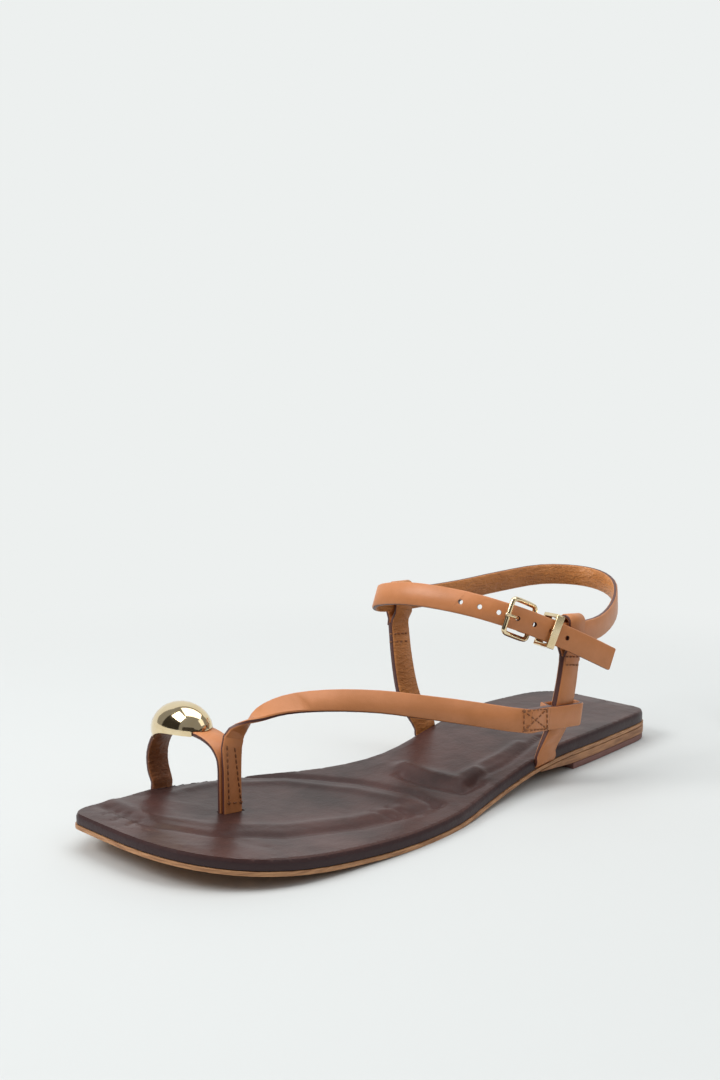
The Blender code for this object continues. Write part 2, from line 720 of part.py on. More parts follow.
def vamp_route(outer_tab, distance):
    """The vamp strap, from the foot of the post over the instep to the outer tab."""
    held, up, facing, _ = outer_tab.at(distance)
    post_x, post_y = POST_PLACE[0] * LENGTH, POST_PLACE[1] * BALL_WIDTH
    start = np.array((post_x, post_y + STRAP_THICK / 2 - JOIN, 0))
    span = held - start
    ahead = unit((-span[0], -span[1], VAMP_SLOPE * math.hypot(span[0], span[1])))
    ahead = unit(ahead - facing * np.dot(ahead, facing))
    lean = abs(np.dot(up, ahead))
    held_wide = TAB_WIDTH / math.sqrt(1 - lean ** 2) + VAMP_WIDTH * lean
    reach = held_wide / 2 + VAMP_REACH
    offset = STRAP_THICK + GAP
    fold = hairpin(held_wide + 2 * TAB_SLACK, 2 * (STRAP_THICK + TAB_SLACK), reach, offset,
                   STRAP_THICK)
    outward = unit((-span[1], span[0], 0)) * -1
    narrow = VAMP_ROWS[0][3] * VAMP_WIDTH
    rows = []
    for z in (insole_bottom(post_x + LOOP_WIDTH / 2), insole_top(post_x), 0.5 * VAMP_HEIGHT):
        rows.append(row((start[0], start[1], z), (0, -1, 0), narrow, STRAP_THICK))
    for share, height, bulge, wide, *turn in VAMP_ROWS:
        place = start + span * share + outward * bulge * VAMP_WIDTH
        place[2] = VAMP_HEIGHT * height
        rows.append(row(place, unit(turn), wide * VAMP_WIDTH, STRAP_THICK))
    layer = held + facing * (offset + STRAP_THICK / 2 - JOIN / 2)
    for along in (reach + STITCHED_LENGTH, reach + 0.5 * STITCHED_LENGTH, reach - JOIN_LENGTH):
        rows.append(row(layer + ahead * along, facing, VAMP_WIDTH, STRAP_THICK))
    doubled = [held + ahead * along + facing * offset
               for along in (reach - 2 * JOIN_LENGTH, reach + STITCHED_LENGTH)]
    return rows, (held, ahead, facing, fold), doubled


def pebble_mesh(loop):
    """A half egg lying over the toe loop, before it is hollowed to the loop's own curve."""
    crown = loop.at(loop.travel[-1] * PEBBLE_PLACE)
    centre, along, out, side = crown
    builder = bmesh.new()
    bmesh.ops.create_uvsphere(builder, u_segments=28, v_segments=16, radius=1)
    for vert in builder.verts:
        spot = np.array(vert.co)
        vert.co = (centre + along * spot[1] * PEBBLE_LENGTH / 2
                   + side * spot[0] * PEBBLE_WIDTH / 2
                   + out * (spot[2] * (PEBBLE_RISE + STRAP_THICK) - STRAP_THICK / 2))
    builder.normal_update()
    bmesh.ops.recalc_face_normals(builder, faces=builder.faces)
    mesh = bpy.data.meshes.new("pebble")
    builder.to_mesh(mesh)
    builder.free()
    mesh.shade_smooth()
    return mesh


def loop_space(loop):
    """The space inside the toe loop, under its inner face and wider than the pebble."""
    start, end = (int(share * len(loop.places)) for share in PEBBLE_SLOT)
    outline = [place - unit(facing) * STRAP_THICK / 2
               for place, facing in zip(loop.places[start:end], loop.facings[start:end])]
    wide = PEBBLE_WIDTH
    count = len(outline)
    points = [(place[0] + sign * wide, place[1], place[2]) for sign in (-1, 1) for place in outline]
    faces = [(i, i + 1, i + 1 + count, i + count) for i in range(count - 1)]
    faces += [(count - 1, 0, count, 2 * count - 1), tuple(range(count)),
              tuple(range(count, 2 * count))]
    return mesh_from("loop_space", points, faces)


def build():
    footbed_leather = material("dark_brown_footbed", "4A3833", 0.55)
    strap_leather = material("tan_strap_leather", "B87448", 0.5)
    sole_leather = material("tan_sole_leather", "A9774F", 0.6)
    heel_rubber = material("brown_top_piece", "7C5950", 0.6)
    brass = material("polished_brass", "D9B36C", 0.18, 1.0)

    rim = INSOLE_RIM_RADIUS
    half_turn = math.sqrt(0.5)
    insole = sole_layer(
        "insole", 1, insole_bottom, insole_top, 0,
        ((0, 0, 0), (0, 1, -rim), (rim * (1 - half_turn), 1, rim * (half_turn - 1)),
         (rim, 1, 0), (2.4 * rim, 1, 0)), 8, footbed_leather, footbed_relief)
    sole_layer("outsole", 1, outsole_bottom, outsole_top, SOLE_OUTSET,
               ((0, 0, 0), (0, 1, 0)), 4, sole_leather)
    sole_layer("heel_lift", LIFT_END, lift_bottom, lambda x: outsole_bottom(x) - GAP,
               SOLE_OUTSET, ((0, 0, 0), (0, 1, 0)), 4, sole_leather)
    sole_layer("heel_top_piece", TOP_PIECE_END, lambda x: 0, lambda x: TOP_PIECE_THICK,
               SOLE_OUTSET - HEEL_INSET, ((HEEL_INSET, 0, 0), (0, 0.2, 0), (0, 1, 0)), 4,
               heel_rubber)

    outer_layer = Route(ankle_rows(), 3)
    buckle = Buckle(outer_layer)
    bar = buckle.place(-buckle.half_long, 0, buckle.under)
    fold_reach = BUCKLE_BAR / 2 + TAB_REACH
    tail = [bar - buckle.forward * (fold_reach + share * JOIN_LENGTH) for share in (4, 1, -1)]
    ankle = Route(ankle_rows(tail), 3)
    fold = hairpin(BUCKLE_BAR, BUCKLE_BAR, fold_reach, 0, ANKLE_THICK)
    doubled = [bar - buckle.forward * (fold_reach + share * JOIN_LENGTH) for share in (1.6, -1)]
    ankle_strap = joined("ankle_strap", [
        ankle.mesh("ankle_strap"),
        hairpin_mesh("buckle_fold", bar, -buckle.forward, buckle.facing, fold,
                     0.98 * ANKLE_WIDTH, ANKLE_THICK),
        ribbon_mesh("buckle_fold_end", doubled, [buckle.facing] * 2, [0.99 * ANKLE_WIDTH] * 2,
                    [2 * ANKLE_THICK] * 2)], strap_leather)
    for number in range(HOLE_COUNT):
        place, _, facing, _ = ankle.at(HOLE_FROM_TIP + number * HOLE_SPACING)
        cut(ankle_strap, f"strap_hole_{number}",
            cylinder("strap_hole", place, facing, HOLE_DIAMETER / 2, 1.6 * ANKLE_THICK))
    slot_start = -(BUCKLE_BAR / 2 + 2 * GAP + PRONG_DIAMETER)
    slot_end = BUCKLE_BAR + 2 * ANKLE_THICK
    cut(ankle_strap, "prong_slot", block(
        "prong_slot", bar + buckle.forward * (slot_start + slot_end) / 2,
        (buckle.forward, buckle.side, buckle.facing),
        (slot_end - slot_start, PRONG_DIAMETER + 2 * GAP,
         BUCKLE_BAR + 2 * GAP + 2 * ANKLE_THICK + 4 * JOIN)))

    tube("buckle_frame", rounded_frame(
        buckle, buckle.half_long, buckle.half_wide, buckle.over, buckle.under,
        0.75 * BUCKLE_BAR),
        BUCKLE_BAR / 2, True, brass)
    make_prong(buckle, brass)
    make_keeper(buckle, outer_layer, bar, brass)

    outer_at = tab_distance(ankle, 0.8, 0.97, OUTER_TAB_TOP * LENGTH)
    inner_at = tab_distance(ankle, 0.35, 0.6, INNER_TAB_TOP * LENGTH)
    outer_rows, outer_fold = tab_route(OUTER_TAB_X * LENGTH, "outer", ankle, outer_at,
                                       OUTER_TAB_ROWS)
    inner_rows, inner_fold = tab_route(INNER_TAB_X * LENGTH, "inner", ankle, inner_at,
                                       INNER_TAB_ROWS)
    outer_tab, inner_tab = Route(outer_rows, 4), Route(inner_rows, 4)
    for name, route, (held, along, out, rows) in (
            ("outer_tab", outer_tab, outer_fold), ("inner_tab", inner_tab, inner_fold)):
        joined(name, [route.mesh(name),
                      hairpin_mesh(f"{name}_fold", held, along, out, rows,
                                   0.98 * TAB_TOP_WIDTH, STRAP_THICK)], strap_leather)

    loop = Route(loop_route(), 3)
    held_at = outer_tab.travel[-1] * VAMP_MEETS_TAB
    vamp_rows, vamp_fold, doubled = vamp_route(outer_tab, held_at)
    vamp = Route(vamp_rows, 3)
    held, along, out, rows = vamp_fold
    joined("toe_loop_and_vamp_strap", [
        loop.mesh("toe_loop"), vamp.mesh("vamp_strap"),
        hairpin_mesh("vamp_fold", held, along, out, rows, 0.98 * VAMP_WIDTH, STRAP_THICK),
        ribbon_mesh("vamp_stitched_end", doubled, [out] * 2, [0.99 * VAMP_WIDTH] * 2,
                    [2 * STRAP_THICK] * 2)], strap_leather)

    foot_room(insole, "toe_loop_room", loop.table[::-1])
    foot_room(insole, "outer_tab_room", outer_tab.table)
    foot_room(insole, "inner_tab_room", inner_tab.table)
    post_x, post_y = POST_PLACE[0] * LENGTH, POST_PLACE[1] * BALL_WIDTH
    cut(insole, "post_room", block(
        "post_room", np.array((post_x, post_y, insole_bottom(post_x))), np.eye(3),
        (LOOP_WIDTH + 2 * GAP, 2 * STRAP_THICK + 2 * GAP, 4 * INSOLE_THICK)))

    pebble = new_object("pebble_ornament", pebble_mesh(loop), brass, PARTS)
    cut(pebble, "loop_space", loop_space(loop))
    start, end = (int(share * len(loop.places)) for share in PEBBLE_SLOT)
    cut(pebble, "loop_slot", strap_mesh("loop_slot", loop.table[start:end], GAP))
    stand_on_origin()


build()
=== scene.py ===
# %% [markdown]
# # A toe loop sandal, dressed over its solids
# The solids of the sandal come packed as a fixed frame. This lesson gives each of them the skin
# of the real thing: tan strap leather with dark cut edges and a brown lining, a moulded dark
# footbed, a layered leather sole, waxed thread and gold-toned metal. Lengths are metres.

# %% Load the solids and keep their box
import json
import math

import bmesh
import bpy
import numpy as np
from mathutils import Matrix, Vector
from mathutils.bvhtree import BVHTree

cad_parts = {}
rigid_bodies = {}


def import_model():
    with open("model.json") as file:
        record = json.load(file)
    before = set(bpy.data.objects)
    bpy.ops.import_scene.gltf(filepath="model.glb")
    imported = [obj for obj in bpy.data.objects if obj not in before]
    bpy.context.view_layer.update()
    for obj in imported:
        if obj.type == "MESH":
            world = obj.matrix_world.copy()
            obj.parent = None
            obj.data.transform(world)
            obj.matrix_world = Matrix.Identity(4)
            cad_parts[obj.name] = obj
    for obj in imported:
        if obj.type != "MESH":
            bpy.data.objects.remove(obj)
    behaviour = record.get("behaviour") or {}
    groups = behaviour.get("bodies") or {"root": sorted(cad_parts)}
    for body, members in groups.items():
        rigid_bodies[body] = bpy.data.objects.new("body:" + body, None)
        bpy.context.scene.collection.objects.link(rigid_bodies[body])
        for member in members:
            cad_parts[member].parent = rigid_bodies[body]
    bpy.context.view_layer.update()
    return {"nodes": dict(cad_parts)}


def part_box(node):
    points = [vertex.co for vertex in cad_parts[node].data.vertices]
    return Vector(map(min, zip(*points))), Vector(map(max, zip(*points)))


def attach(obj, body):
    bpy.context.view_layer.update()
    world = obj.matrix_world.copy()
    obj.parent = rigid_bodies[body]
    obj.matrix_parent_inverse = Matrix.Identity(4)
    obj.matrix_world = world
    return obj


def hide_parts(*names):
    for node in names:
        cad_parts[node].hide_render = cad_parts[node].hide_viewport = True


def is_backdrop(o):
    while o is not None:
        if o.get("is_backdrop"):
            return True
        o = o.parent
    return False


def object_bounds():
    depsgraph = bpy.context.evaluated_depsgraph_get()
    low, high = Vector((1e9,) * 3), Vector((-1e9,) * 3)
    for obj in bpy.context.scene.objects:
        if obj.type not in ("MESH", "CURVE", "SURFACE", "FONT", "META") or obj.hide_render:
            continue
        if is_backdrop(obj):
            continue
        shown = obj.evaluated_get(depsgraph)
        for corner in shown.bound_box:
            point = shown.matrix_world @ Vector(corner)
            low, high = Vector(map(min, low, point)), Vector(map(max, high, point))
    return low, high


for leftover in list(bpy.data.objects):
    bpy.data.objects.remove(leftover)
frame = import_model()
MM = 0.001
print("solids:", sorted(frame["nodes"]))

# %% [markdown]
# ## The camera
# A photograph can be read backwards: once the camera's place, direction and lens are known, a
# pixel is a ray into the scene. The eye here stands 0.6 m from the sandal, a little above it.
# The same numbers later put seams and creases on the leather where the ray meets it.

# %% Camera at the photograph's angle
PHOTO_WIDE, PHOTO_TALL = 720, 1080
LENS_PIXELS = 1300
SENSOR_WIDTH = 36
YAW, PITCH = math.radians(-134.83), math.radians(-7.53)
INSOLE_INNER_EDGE = 51.07 * MM

insole_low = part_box("insole")[0]
HEEL = Vector((insole_low.x, insole_low.y + INSOLE_INNER_EDGE, 0))
EYE = HEEL + Vector((474, 325, 158)) * MM
FORWARD = Vector((math.cos(YAW) * math.cos(PITCH), math.sin(YAW) * math.cos(PITCH),
                  math.sin(PITCH)))
RIGHT = FORWARD.cross(Vector((0, 0, 1))).normalized()
UP = RIGHT.cross(FORWARD)

camera_data = bpy.data.cameras.new("studio_camera")
camera_data.sensor_width = SENSOR_WIDTH
camera_data.lens = LENS_PIXELS / PHOTO_TALL * SENSOR_WIDTH
camera_data.clip_start = 0.01
camera = bpy.data.objects.new("studio_camera", camera_data)
camera.location = EYE
camera.rotation_mode = "QUATERNION"
camera.rotation_quaternion = FORWARD.to_track_quat("-Z", "Y")
bpy.context.scene.collection.objects.link(camera)
bpy.context.scene.camera = camera
print("lens in mm:", round(camera_data.lens, 2))

# %% [markdown]
# ## Reading a place off the photograph
# A bounding volume tree finds where a ray meets a solid. If a pixel just misses the strap it
# was meant for, the nearest point of that strap is taken, so nothing can end up in the air.

# %% Rays onto the solids
PIXEL_SIZE = 0.4 * MM
SEARCH_LEAD = 0.1
SEARCH_STEP = 2 * MM
SEARCH_STEPS = 160


def photo_ray(pixel):
    """Direction from the eye through a pixel of the photograph."""
    across, down = pixel[0] - PHOTO_WIDE / 2, pixel[1] - PHOTO_TALL / 2
    return (FORWARD * LENS_PIXELS + RIGHT * across - UP * down).normalized()


SURFACES = {}


def surface(node):
    """The bounding volume tree of a solid, made once."""
    if node not in SURFACES:
        mesh = frame["nodes"][node].data
        SURFACES[node] = BVHTree.FromPolygons([v.co[:] for v in mesh.vertices],
                                              [p.vertices[:] for p in mesh.polygons])
    return SURFACES[node]


def on_node(node, pixel):
    """Point and outward normal of a solid at a pixel of the photograph."""
    tree, ray = surface(node), photo_ray(pixel)
    point, normal, _, _ = tree.ray_cast(EYE, ray)
    if point is None:
        low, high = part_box(node)
        near, far = (low - EYE).length, (high - EYE).length
        first = min(near, far) - SEARCH_LEAD
        spots = [EYE + ray * (first + step * SEARCH_STEP) for step in range(SEARCH_STEPS)]
        point, normal, _, _ = min((tree.find_nearest(spot) for spot in spots),
                                  key=lambda found: found[3])
    if normal.dot(ray) > 0:
        normal = -normal
    return point, normal


def along_pixels(node, pixels, step=1.0 * MM):
    """Points of a solid under a line drawn on the photograph, close enough to follow it."""
    places = []
    for start, end in zip(pixels, pixels[1:]):
        count = max(int(math.dist(start, end) * PIXEL_SIZE / step), 2)
        for share in np.linspace(0, 1, count, endpoint=False):
            pixel = (start[0] + (end[0] - start[0]) * share, start[1] + (end[1] - start[1]) * share)
            places.append(on_node(node, pixel))
    places.append(on_node(node, pixels[-1]))
    return places


print("footbed under the middle of the ball:",
      [round(value / MM, 1) for value in on_node("insole", (300, 800))[0]])

# %% [markdown]
# ## Helpers for materials
# Colours are picked as sRGB hex values, but a shader mixes light in linear values, so one
# function turns them. A second one adds a node with its settings and its links in one line.

# %% Colour and node helpers


def linear(hex_colour):
    """Linear colour from an sRGB hex value."""
    values = [int(hex_colour[i:i + 2], 16) / 255 for i in (0, 2, 4)]
    return [v / 12.92 if v <= 0.04045 else ((v + 0.055) / 1.055) ** 2.4 for v in values] + [1.0]


def add_node(tree, kind, links=None, **settings):
    """A node with its settings, then its inputs: a socket is linked and a value is set."""
    node = tree.nodes.new(kind)
    for key, value in settings.items():
        setattr(node, key, value)
    for socket, source in (links or {}).items():
        if isinstance(source, bpy.types.NodeSocket):
            tree.links.new(source, node.inputs[socket])
        else:
            node.inputs[socket].default_value = source
    return node


def new_material(name, roughness, **fixed):
    """A material with its shader's constant values set on the shader's own sockets."""
    made = bpy.data.materials.new(name)
    made.use_nodes = True
    shader = made.node_tree.nodes["Principled BSDF"]
    shader.inputs["Roughness"].default_value = roughness
    for socket, value in fixed.items():
        shader.inputs[socket.replace("_", " ")].default_value = value
    return made, made.node_tree, shader


# %% [markdown]
# ## Vegetable-tanned strap leather
# The straps are smooth cowhide tanned with bark: warm tan, darker where it was creased and
# oiled, with fine pores about 0.6 mm apart and a low wax gloss. The cut edges are painted dark,
# and the walls of punched holes take the same dark colour as painted shade in the holes. The
# lining is brown and wrinkles across the strap; in the toe loop it is darker, a brown lining
# with painted shade inside the loop and under the vamp. Two face attributes, made from the
# strap's own shape, say which faces are cut edges and hole walls, and which are lining.

# %% Strap leather


def strap_leather(name, face, shade, edge, lining, lining_shade):
    made, tree, shader = new_material(name, 0.42, Specular_IOR_Level=0.38, Coat_Weight=0.06,
                                      Coat_Roughness=0.3)
    place = add_node(tree, "ShaderNodeTexCoord").outputs["Object"]
    cut_edge_and_hole_shade = add_node(tree, "ShaderNodeAttribute", attribute_name="cut_edge_and_hole_shade").outputs["Fac"]
    inside = add_node(tree, "ShaderNodeAttribute", attribute_name="lining").outputs["Fac"]
    cloud = add_node(tree, "ShaderNodeTexNoise", {"Vector": place, "Scale": 1 / (11 * MM),
                                                  "Detail": 5.0, "Roughness": 0.62})
    depth = add_node(tree, "ShaderNodeMapRange", {"Value": cloud.outputs[0], "From Min": 0.25,
                                                  "From Max": 0.85})
    outer = add_node(tree, "ShaderNodeMix", {0: depth.outputs[0], 6: linear(face),
                                             7: linear(shade)}, data_type="RGBA")
    inner = add_node(tree, "ShaderNodeMix", {0: depth.outputs[0], 6: linear(lining),
                                             7: linear(lining_shade)}, data_type="RGBA")
    both = add_node(tree, "ShaderNodeMix", {0: inside, 6: outer.outputs[2],
                                            7: inner.outputs[2]}, data_type="RGBA")
    # Cut edges are painted dark; hole walls take the same colour as painted shade in the holes.
    colour = add_node(tree, "ShaderNodeMix", {0: cut_edge_and_hole_shade, 6: both.outputs[2],
                                              7: linear(edge)}, data_type="RGBA")
    tree.links.new(colour.outputs[2], shader.inputs["Base Color"])
    gloss = add_node(tree, "ShaderNodeMapRange", {"Value": cloud.outputs[0], "To Min": 0.34,
                                                  "To Max": 0.54})
    tree.links.new(gloss.outputs[0], shader.inputs["Roughness"])
    pores = add_node(tree, "ShaderNodeTexVoronoi", {"Vector": place, "Scale": 1 / (0.6 * MM)})
    long_way = add_node(tree, "ShaderNodeMapping", {"Vector": place, "Scale": (1.0, 1.0, 2.6)})
    folds = add_node(tree, "ShaderNodeTexNoise", {"Vector": long_way.outputs[0],
                                                  "Scale": 1 / (3.2 * MM), "Detail": 3.0,
                                                  "Distortion": 0.8})
    creased = add_node(tree, "ShaderNodeMath", {0: folds.outputs[0], 1: inside},
                       operation="MULTIPLY")
    grain = add_node(tree, "ShaderNodeBump", {"Height": pores.outputs["Distance"],
                                              "Strength": 0.35, "Distance": 0.05 * MM})
    wrinkles = add_node(tree, "ShaderNodeBump", {"Height": creased.outputs[0],
                                                 "Strength": 0.9, "Distance": 0.8 * MM,
                                                 "Normal": grain.outputs[0]})
    soft = add_node(tree, "ShaderNodeBump", {"Height": cloud.outputs[0], "Strength": 0.5,
                                             "Distance": 0.5 * MM,
                                             "Normal": wrinkles.outputs[0]})
    tree.links.new(soft.outputs[0], shader.inputs["Normal"])
    return made


STRAP = strap_leather("vegetable_tanned_strap_leather", "CB8454", "B57240", "54302A",
                      "CE884C", "A66836")
# The loop's lining is brown leather coloured darker than the straps' lining: painted shade inside
# the loop and under the vamp.
LOOP_SHADED_LINING = strap_leather("loop_leather_with_painted_shade_lining", "CB8454", "B57240", "54302A",
                     "9E6238", "6A3E28")
print("made", STRAP.name, "and", LOOP_SHADED_LINING.name)

# %% [markdown]
# ## Footbed leather
# The footbed is a thick dark brown side leather pressed over a mould while damp. Pressing
# closes the pores, so it has a satin sheen with a fine pebble grain. The wall is coloured a
# little greyer than the top as a painted sheen, and an attribute on the points tells them apart.

# %% Footbed, sole, rubber, metal and thread


def footbed_leather():
    made, tree, shader = new_material("moulded_footbed_leather", 0.40,
                                      Specular_IOR_Level=0.22, Coat_Weight=0.03,
                                      Coat_Roughness=0.25)
    place = add_node(tree, "ShaderNodeTexCoord").outputs["Object"]
    wall_sheen = add_node(tree, "ShaderNodeAttribute", attribute_name="wall_sheen").outputs["Fac"]
    cloud = add_node(tree, "ShaderNodeTexNoise", {"Vector": place, "Scale": 1 / (26 * MM),
                                                  "Detail": 6.0, "Roughness": 0.6})
    depth = add_node(tree, "ShaderNodeMapRange", {"Value": cloud.outputs[0], "From Min": 0.38,
                                                  "From Max": 0.66})
    top = add_node(tree, "ShaderNodeMix", {0: depth.outputs[0], 6: linear("4A2F2B"),
                                           7: linear("311F1D")}, data_type="RGBA")
    # The wall's greyer colour is a painted sheen.
    colour = add_node(tree, "ShaderNodeMix", {0: wall_sheen, 6: top.outputs[2],
                                              7: linear("3A2A2B")}, data_type="RGBA")
    tree.links.new(colour.outputs[2], shader.inputs["Base Color"])
    gloss = add_node(tree, "ShaderNodeMapRange", {"Value": cloud.outputs[0], "To Min": 0.30,
                                                  "To Max": 0.46})
    tree.links.new(gloss.outputs[0], shader.inputs["Roughness"])
    pebble = add_node(tree, "ShaderNodeTexVoronoi", {"Vector": place, "Scale": 1 / (0.8 * MM)})
    grain = add_node(tree, "ShaderNodeBump", {"Height": pebble.outputs["Distance"],
                                              "Strength": 0.5, "Distance": 0.08 * MM})
    swell = add_node(tree, "ShaderNodeTexNoise", {"Vector": place, "Scale": 1 / (7 * MM),
                                                  "Detail": 2.0})
    soft = add_node(tree, "ShaderNodeBump", {"Height": swell.outputs[0], "Strength": 0.5,
                                             "Distance": 0.5 * MM, "Normal": grain.outputs[0]})
    tree.links.new(soft.outputs[0], shader.inputs["Normal"])
    return made


def cut_leather(name, light, dark, layer):
    """Sole leather seen on its cut edge: pressed fibres run along the sole in thin layers."""
    made, tree, shader = new_material(name, 0.58, Coat_Weight=0.08, Coat_Roughness=0.4)
    place = add_node(tree, "ShaderNodeTexCoord").outputs["Object"]
    flat = add_node(tree, "ShaderNodeMapping", {"Vector": place, "Scale": (0.12, 0.12, 1.0)})
    fibres = add_node(tree, "ShaderNodeTexNoise", {"Vector": flat.outputs[0],
                                                   "Scale": 1 / layer, "Detail": 4.0})
    depth = add_node(tree, "ShaderNodeMapRange", {"Value": fibres.outputs[0],
                                                  "From Min": 0.38, "From Max": 0.64})
    colour = add_node(tree, "ShaderNodeMix", {0: depth.outputs[0], 6: linear(light),
                                              7: linear(dark)}, data_type="RGBA")
    tree.links.new(colour.outputs[2], shader.inputs["Base Color"])
    fibre_bump = add_node(tree, "ShaderNodeBump", {"Height": fibres.outputs[0],
                                                   "Strength": 0.35, "Distance": 0.12 * MM})
    tree.links.new(fibre_bump.outputs[0], shader.inputs["Normal"])
    return made


def heel_rubber():
    """Moulded rubber: even colour, matt, with the faint orange peel of its mould."""
    made, tree, shader = new_material("moulded_heel_rubber", 0.62, Specular_IOR_Level=0.4)
    place = add_node(tree, "ShaderNodeTexCoord").outputs["Object"]
    dust = add_node(tree, "ShaderNodeTexNoise", {"Vector": place, "Scale": 1 / (5 * MM),
                                                 "Detail": 5.0})
    colour = add_node(tree, "ShaderNodeMix", {0: dust.outputs[0], 6: linear("936A62"),
                                              7: linear("7A544C")}, data_type="RGBA")
    tree.links.new(colour.outputs[2], shader.inputs["Base Color"])
    peel = add_node(tree, "ShaderNodeTexNoise", {"Vector": place, "Scale": 1 / (0.9 * MM)})
    bump = add_node(tree, "ShaderNodeBump", {"Height": peel.outputs[0], "Strength": 0.4,
                                             "Distance": 0.06 * MM})
    tree.links.new(bump.outputs[0], shader.inputs["Normal"])
    return made


def polished_metal():
    """Die-cast metal with a gold-toned plating: a mirror with the softest waves."""
    made, tree, shader = new_material("gold_toned_plating", 0.13, Metallic=1.0)
    place = add_node(tree, "ShaderNodeTexCoord").outputs["Object"]
    wear = add_node(tree, "ShaderNodeTexNoise", {"Vector": place, "Scale": 1 / (6 * MM),
                                                 "Detail": 3.0})
    colour = add_node(tree, "ShaderNodeMix", {0: wear.outputs[0], 6: linear("F2E2C2"),
                                              7: linear("DFC391")}, data_type="RGBA")
    tree.links.new(colour.outputs[2], shader.inputs["Base Color"])
    gloss = add_node(tree, "ShaderNodeMapRange", {"Value": wear.outputs[0], "To Min": 0.05,
                                                  "To Max": 0.12})
    tree.links.new(gloss.outputs[0], shader.inputs["Roughness"])
    return made


def waxed_thread():
    """Waxed linen thread: tan, satin, its twist drawn as fine bumps."""
    made, tree, shader = new_material("waxed_linen_thread", 0.55)
    place = add_node(tree, "ShaderNodeTexCoord").outputs["Object"]
    twist = add_node(tree, "ShaderNodeTexNoise", {"Vector": place, "Scale": 1 / (0.3 * MM)})
    colour = add_node(tree, "ShaderNodeMix", {0: twist.outputs[0], 6: linear("A36B40"),
                                              7: linear("6A4024")}, data_type="RGBA")
    tree.links.new(colour.outputs[2], shader.inputs["Base Color"])
    bump = add_node(tree, "ShaderNodeBump", {"Height": twist.outputs[0], "Strength": 0.4,
                                             "Distance": 0.05 * MM})
    tree.links.new(bump.outputs[0], shader.inputs["Normal"])
    return made


FOOTBED, RUBBER, PLATING, THREAD = (footbed_leather(), heel_rubber(), polished_metal(),
                                    waxed_thread())
OUTSOLE = cut_leather("cut_outsole_leather", "C08E62", "9A6A45", 0.8 * MM)
LIFT = cut_leather("stacked_heel_leather", "B8845A", "8E603E", 1.1 * MM)
print("materials:", len(bpy.data.materials))

# %% [markdown]
# ## A clean skin from a solid
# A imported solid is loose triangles. A copy with its corners merged can be shaded smoothly and
# given attributes. The strap's thickness tells the faces apart: a line pushed straight in from
# a broad face leaves after 2 to 4 mm, and one pushed in from a cut edge runs much further.

# %% Copying a solid
INTO_LEATHER = 0.02 * MM
CUT_EDGE_DEPTH = 6.5 * MM
# Hole walls are found by this depth and a small face area; their dark colour is painted shade.
SHADED_HOLE_DEPTH = 2.9 * MM
LINING_TURN = 0.25


def skin(node, name, smooth_degrees=50, quads=False):
    """A copy of a solid as its own piece, with merged corners and smooth faces."""
    builder = bmesh.new()
    builder.from_mesh(frame["nodes"][node].data)
    bmesh.ops.remove_doubles(builder, verts=builder.verts, dist=0.002 * MM)
    if quads:
        bmesh.ops.join_triangles(builder, faces=builder.faces, angle_face_threshold=0.6,
                                 angle_shape_threshold=1.4)
    builder.verts.index_update()
    mesh = bpy.data.meshes.new(name)
    mesh.from_pydata([v.co[:] for v in builder.verts], [],
                     [[v.index for v in face.verts] for face in builder.faces])
    builder.free()
    mesh.shade_smooth()
    mesh.set_sharp_from_angle(angle=math.radians(smooth_degrees))
    piece = bpy.data.objects.new(name, mesh)
    bpy.context.scene.collection.objects.link(piece)
    return piece


def mark_faces(piece, name, values):
    """A number on each face, for the material to read."""
    mark = piece.data.attributes.new(name, "FLOAT", "FACE")
    mark.data.foreach_set("value", np.array(values, np.float32))


def mark_strap(piece, inward, shaded_hole_face=0.0):
    """Mark cut edges by how thick the strap is behind each face, and the lining by its side.

    The walls of punched holes are faces smaller than the given area with leather behind them;
    they get the cut-edge mark as painted shade in the holes.
    """
    mesh = piece.data
    tree = BVHTree.FromPolygons([v.co[:] for v in mesh.vertices],
                                [p.vertices[:] for p in mesh.polygons])
    cut, inside = [], []
    for face in mesh.polygons:
        start = face.center - face.normal * INTO_LEATHER
        _, _, _, distance = tree.ray_cast(start, -face.normal)
        deep = distance is None or distance > CUT_EDGE_DEPTH
        # Hole walls take the dark cut-edge colour: painted shade in the holes.
        shaded_hole_wall = not deep and distance > SHADED_HOLE_DEPTH and face.area < shaded_hole_face
        cut.append(1.0 if deep or shaded_hole_wall else 0.0)
        turned_in = face.normal.dot(inward(face.center - HEEL)) > LINING_TURN
        inside.append(1.0 if turned_in else 0.0)
    mark_faces(piece, "cut_edge_and_hole_shade", cut)
    mark_faces(piece, "lining", inside)
    print(piece.name, "cut edge faces", int(sum(cut)), "lining faces", int(sum(inside)))


def finish_piece(piece, node, material):
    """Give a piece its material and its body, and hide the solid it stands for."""
    piece.data.materials.clear()
    piece.data.materials.append(material)
    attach(piece, "root")
    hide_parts(node)
    return piece


# %% [markdown]
# ## The straps
# Which way is in differs for each strap: towards the ankle's axis, towards the big toe inside
# the loop, or towards the middle of the foot. A small rule for each says it in the sandal's
# own sizes, measured from the back of the heel.

# %% Straps
ANKLE_AXIS = (62 * MM, -4 * MM)
TOE_AXIS = (-33 * MM, 17 * MM)
LOOP_BACK = 195.5 * MM
LOOP_POST = -13.1 * MM
# Faces turned this way under the vamp count as lining and take the loop's painted shade.
UNDER_VAMP = (-0.35, -0.8, -0.5)
# Face area under which a deep face is a hole wall, darkened as painted shade.
SHADED_HOLE_FACE = 0.9 * MM * MM


def to_ankle(place):
    return Vector((ANKLE_AXIS[0] - place.x, ANKLE_AXIS[1] - place.y, 0)).normalized()


